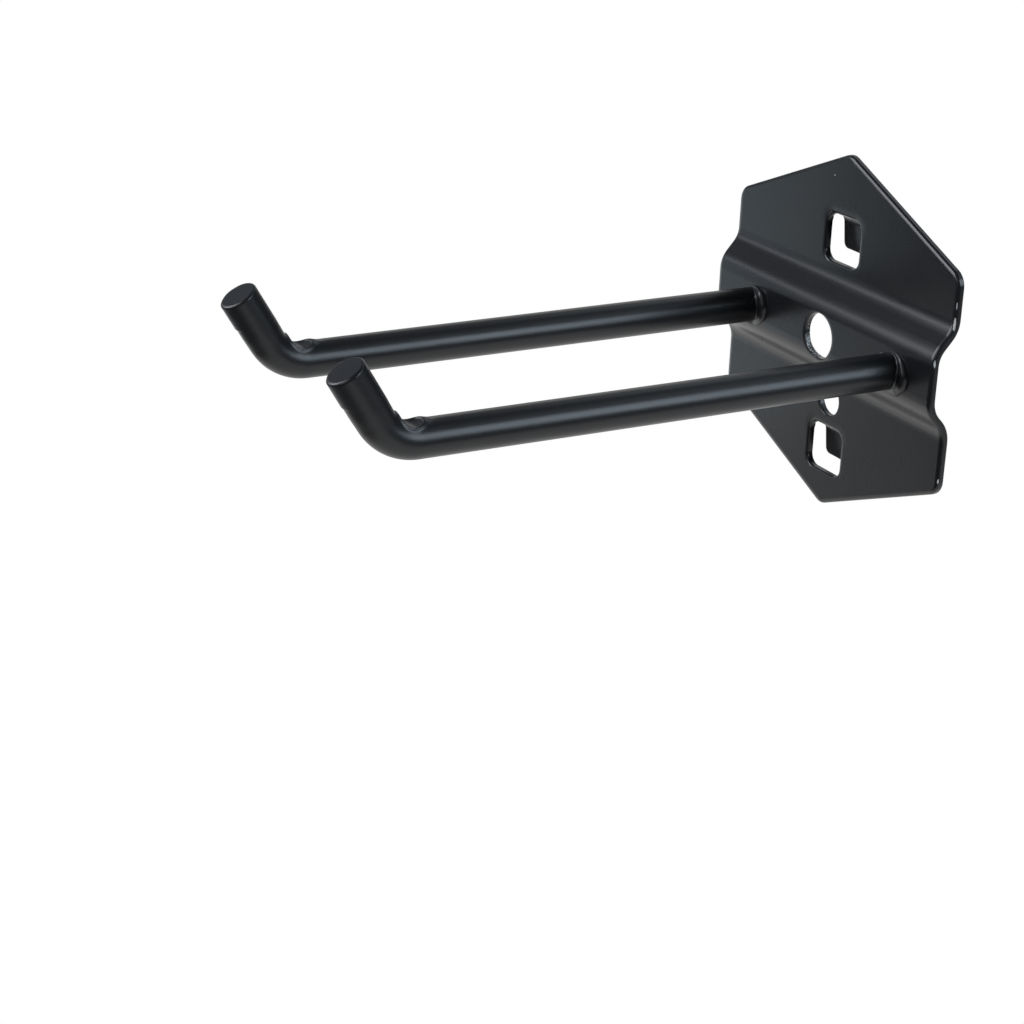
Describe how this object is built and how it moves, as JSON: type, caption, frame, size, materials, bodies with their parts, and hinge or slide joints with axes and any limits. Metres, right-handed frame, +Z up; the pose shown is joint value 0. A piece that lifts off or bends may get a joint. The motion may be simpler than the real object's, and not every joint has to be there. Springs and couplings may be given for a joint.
{
  "type": "pegboard hook",
  "caption": "Double round-bar hook on a pressed plate with two tabs for a square-hole tool panel.",
  "frame": {"origin": "on the panel's face, on the plate's middle line, level with the two bars", "axes": "+Y into the panel, square to it, the bars point to -Y; +Z up; +X to the right seen from the front"},
  "size_m": [0.064, 0.11, 0.0632],
  "materials": {
    "powder_coat": "satin"
  },
  "bodies": {
    "root": {"back_plate": "powder_coat", "left_arm": "powder_coat", "right_arm": "powder_coat", "left_weld": "powder_coat", "right_weld": "powder_coat"}
  },
  "joints": []
}
